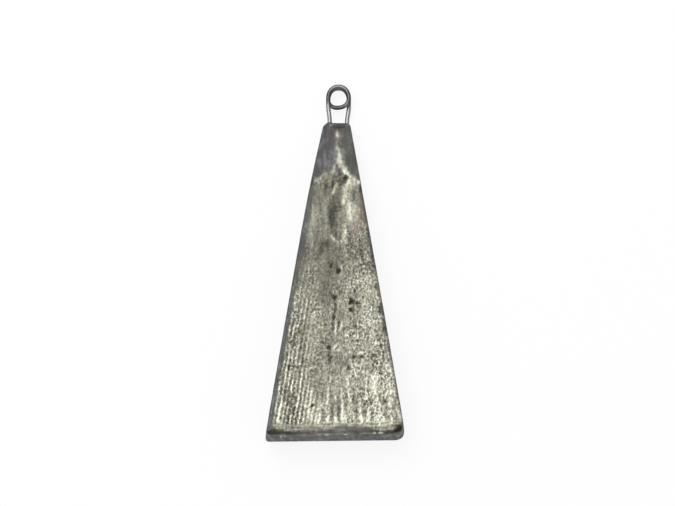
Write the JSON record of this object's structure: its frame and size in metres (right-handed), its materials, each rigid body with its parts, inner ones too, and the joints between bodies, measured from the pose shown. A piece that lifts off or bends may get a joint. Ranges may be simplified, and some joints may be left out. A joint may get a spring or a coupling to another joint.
{
  "type": "fishing sinker",
  "caption": "Flat tapered cast lead fishing sinker with drafted sides, a hipped cap, a shrink hollow and a coiled wire eye cast into its narrow end.",
  "frame": {"origin": "on the flat back, under the middle of the overall box", "axes": "+X across the width, +Y along the length from the wide base towards the wire eye, +Z out of the front face"},
  "size_m": [0.0377, 0.1, 0.0129],
  "materials": {
    "lead": "matte",
    "steel_wire": "satin"
  },
  "bodies": {
    "root": {"lead_body": "lead", "wire_eye": "steel_wire"}
  },
  "joints": []
}
